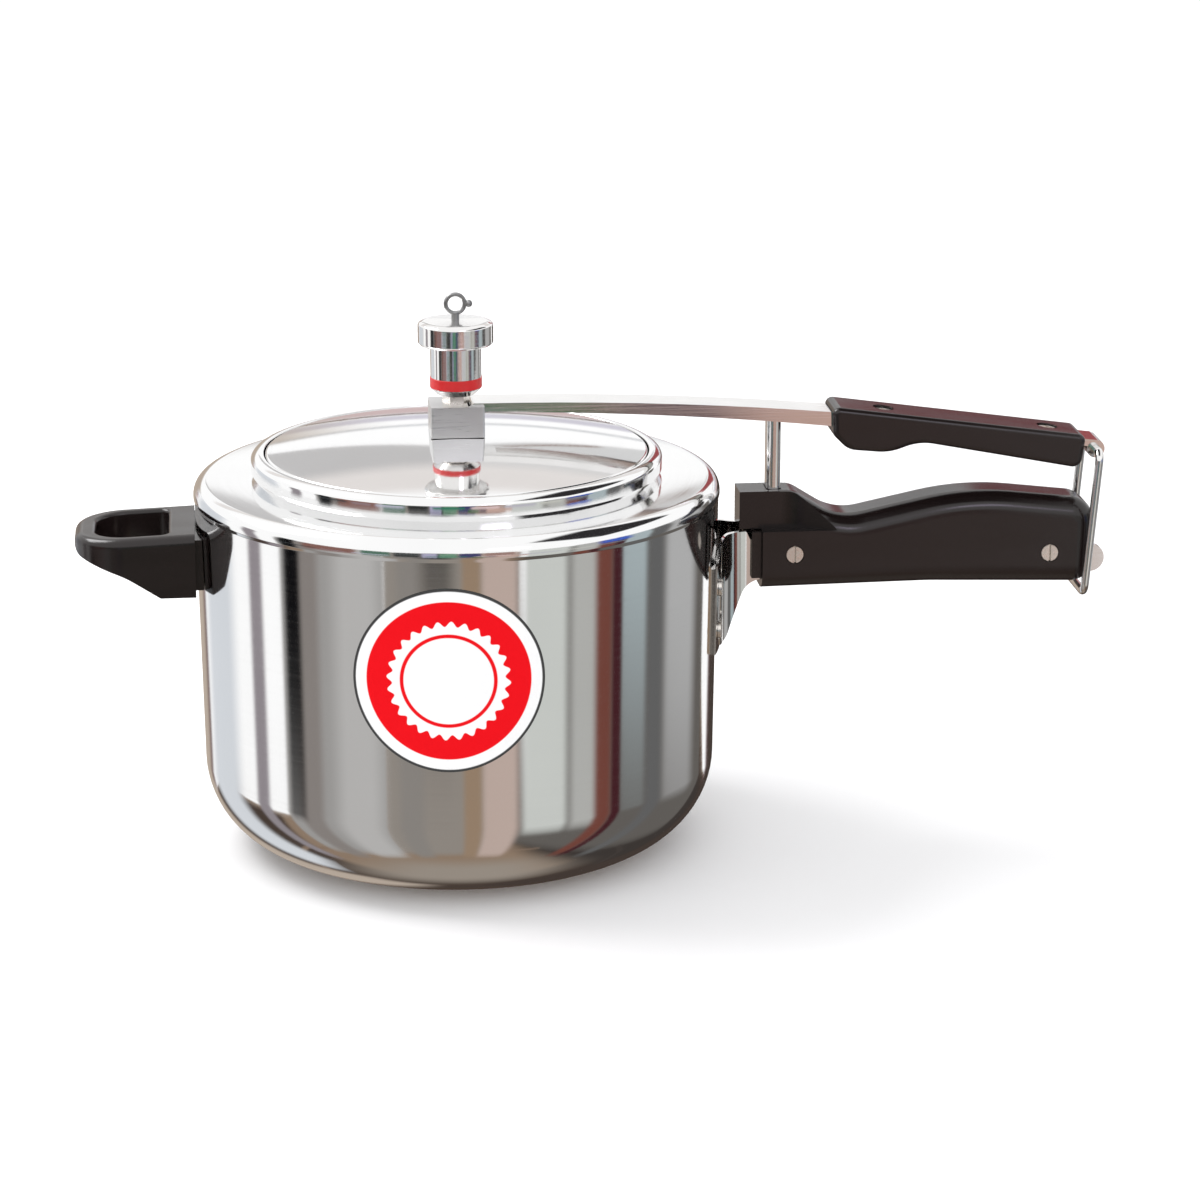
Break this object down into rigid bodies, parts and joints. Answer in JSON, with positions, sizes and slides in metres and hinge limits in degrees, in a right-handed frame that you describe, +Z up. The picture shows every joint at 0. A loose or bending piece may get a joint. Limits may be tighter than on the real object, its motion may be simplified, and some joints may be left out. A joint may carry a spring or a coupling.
{
  "type": "stovetop pressure cooker",
  "caption": "Polished metal pressure cooker with an inner lid that a lever pulls up under the mouth, a wire locking loop, a lift-off pressure weight and black moulded handles",
  "frame": {"origin": "centre of the flat underside of the pot's base, where it stands on a hob", "axes": "+Z up along the pot's axis, +X towards the two long handles, -Y towards the labelled front"},
  "size_m": [0.429, 0.2162, 0.2299],
  "materials": {
    "pot_metal": "polished",
    "lid_metal": "polished",
    "label_film": "printed film",
    "seal_rubber": "moulded",
    "bright_steel": "polished",
    "fastener_steel": "zinc plated",
    "black_handle": "polished phenolic",
    "vent_metal": "turned",
    "plug_alloy": "cast alloy",
    "weight_metal": "polished",
    "needle_brass": "turned",
    "band_red": "moulded silicone"
  },
  "bodies": {
    "pot": {"pot_body": "pot_metal", "front_label": "label_film", "handle_bracket": "bright_steel", "bracket_rivets": "fastener_steel", "fulcrum_post": "bright_steel", "body_handle": "black_handle", "body_handle_screws": "fastener_steel", "body_handle_nuts": "fastener_steel", "loop_catch": "bright_steel", "helper_bracket": "fastener_steel", "helper_rivets": "fastener_steel", "helper_handle": "black_handle", "helper_screw": "fastener_steel"},
    "lever": {"lever_bar": "bright_steel", "lid_handle": "black_handle", "lid_handle_screws": "fastener_steel"},
    "loop": {"locking_loop": "bright_steel"},
    "lid": {"lid": "lid_metal", "gasket": "seal_rubber", "pivot_block": "bright_steel", "pivot_pin": "fastener_steel", "vent_tube": "vent_metal", "vent_washer": "seal_rubber", "vent_nut": "fastener_steel", "valve_body": "vent_metal", "valve_washer": "seal_rubber", "valve_plug": "plug_alloy", "valve_nut": "fastener_steel"},
    "weight": {"weight_barrel": "weight_metal", "weight_band": "band_red", "weight_cap": "weight_metal", "weight_needle": "needle_brass", "lifting_eye": "weight_metal"}
  },
  "joints": [
    {"name": "lever_lift", "type": "hinge", "parent": "pot", "child": "lever", "pos_m": [0.1311, 0, 0.17497], "axis": [0, -1, 0], "range_deg": [0, 7]},
    {"name": "loop_swing", "type": "hinge", "parent": "lever", "child": "loop", "pos_m": [0.2656, 0, 0.1598], "axis": [0, -1, 0], "range_deg": [0, 105]},
    {"name": "lid_level", "type": "hinge", "parent": "lever", "child": "lid", "pos_m": [0.0079, 0, 0.18115], "axis": [0, -1, 0], "range_deg": [-7, 0]},
    {"name": "weight_lift", "type": "slide", "parent": "lid", "child": "weight", "axis": [0, 0, 1], "range_m": [0, 0.03]}
  ],
  "couplings": [
    {"joint": "loop_swing", "follows": "lever_lift", "ratio": 15},
    {"joint": "lid_level", "follows": "lever_lift", "ratio": -1}
  ]
}
